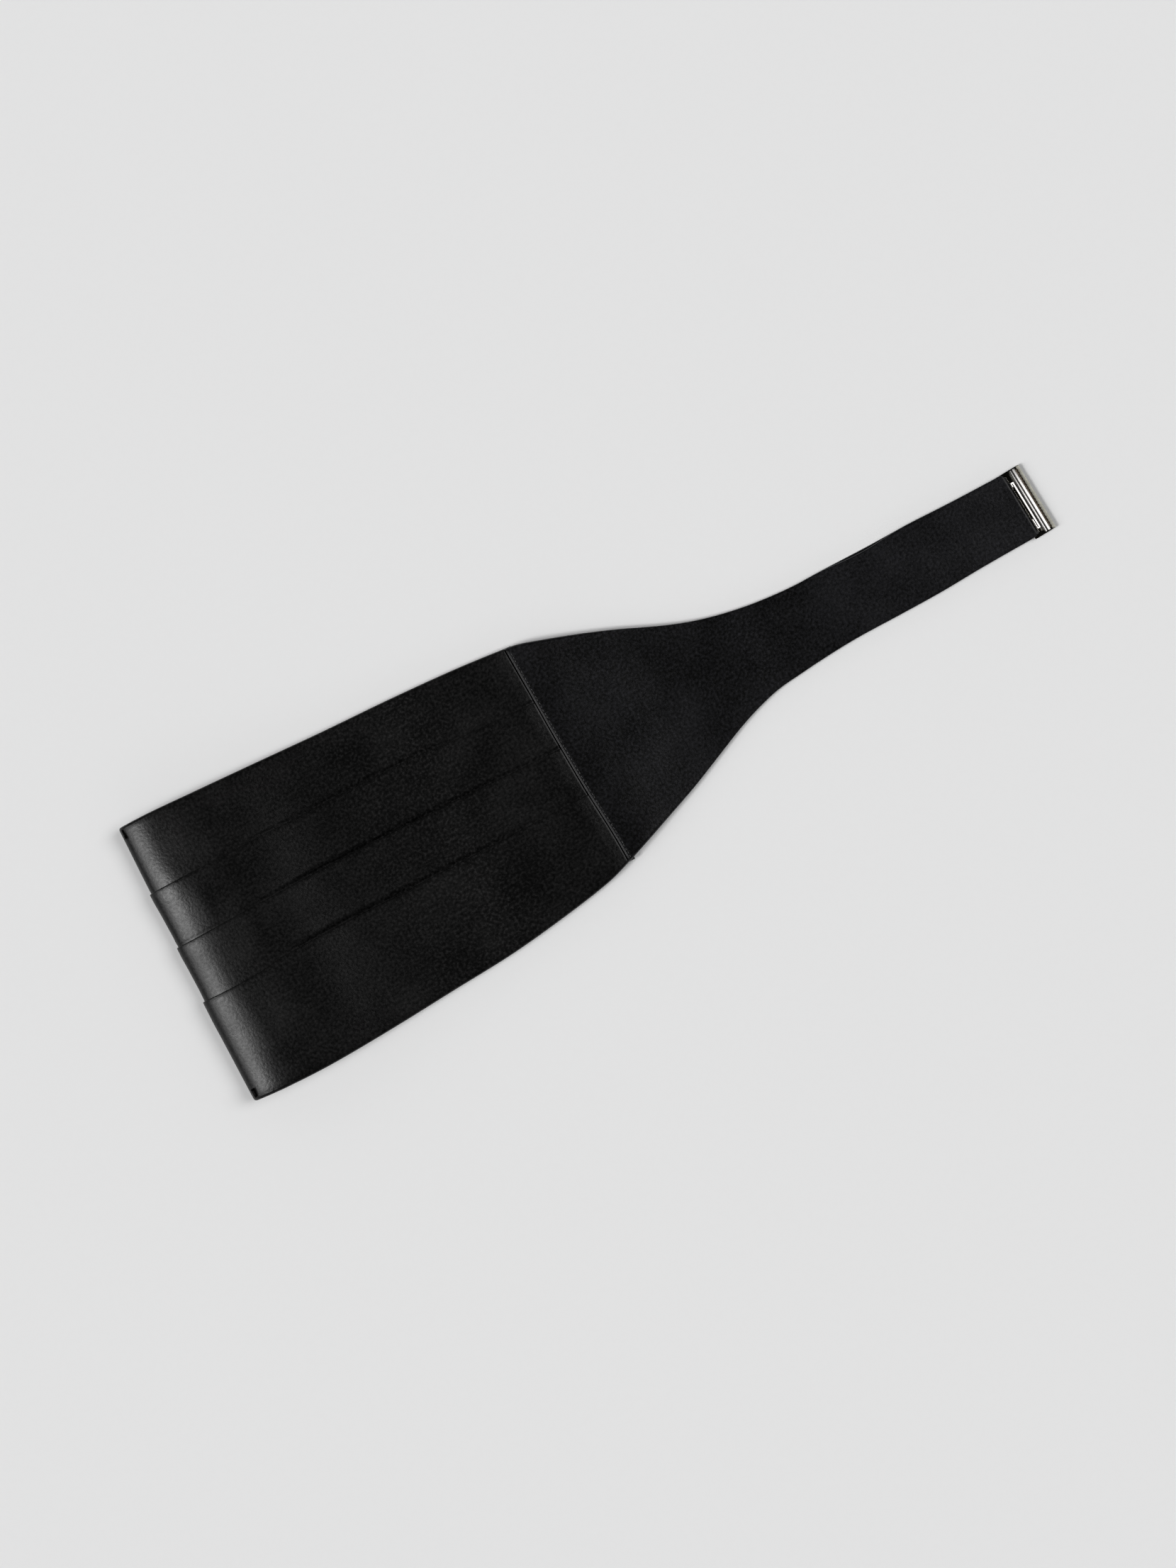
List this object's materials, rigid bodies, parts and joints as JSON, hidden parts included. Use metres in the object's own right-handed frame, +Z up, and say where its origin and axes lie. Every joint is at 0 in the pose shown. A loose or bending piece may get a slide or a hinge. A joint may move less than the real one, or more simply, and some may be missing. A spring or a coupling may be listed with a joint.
{
  "type": "folded cummerbund",
  "caption": "Pleated satin cummerbund, folded in half and laid flat, with a tapered wing, a narrow back strap and a closed metal clasp.",
  "frame": {"origin": "on the surface that the garment rests on, under the middle of its outline", "axes": "+X along the garment from the centre front fold to the clasp, +Y towards its top edge, to which the pleats open, +Z up"},
  "size_m": [0.4135, 0.1297, 0.0137],
  "materials": {
    "pleated_satin": "black satin with a soft sheen",
    "wing_satin": "black satin, slightly duller",
    "inner_plies": "black cloth",
    "frame_metal": "satin nickel plate",
    "bright_metal": "polished plate",
    "tooth_metal": "stamped, slightly dark"
  },
  "bodies": {
    "root": {"front_panel": "pleated_satin", "wing_strap": "wing_satin", "under_layers": "inner_plies", "clasp_frame": "frame_metal", "clasp_lever": "bright_metal", "clasp_teeth": "tooth_metal", "clasp_tongue": "bright_metal"}
  },
  "joints": []
}
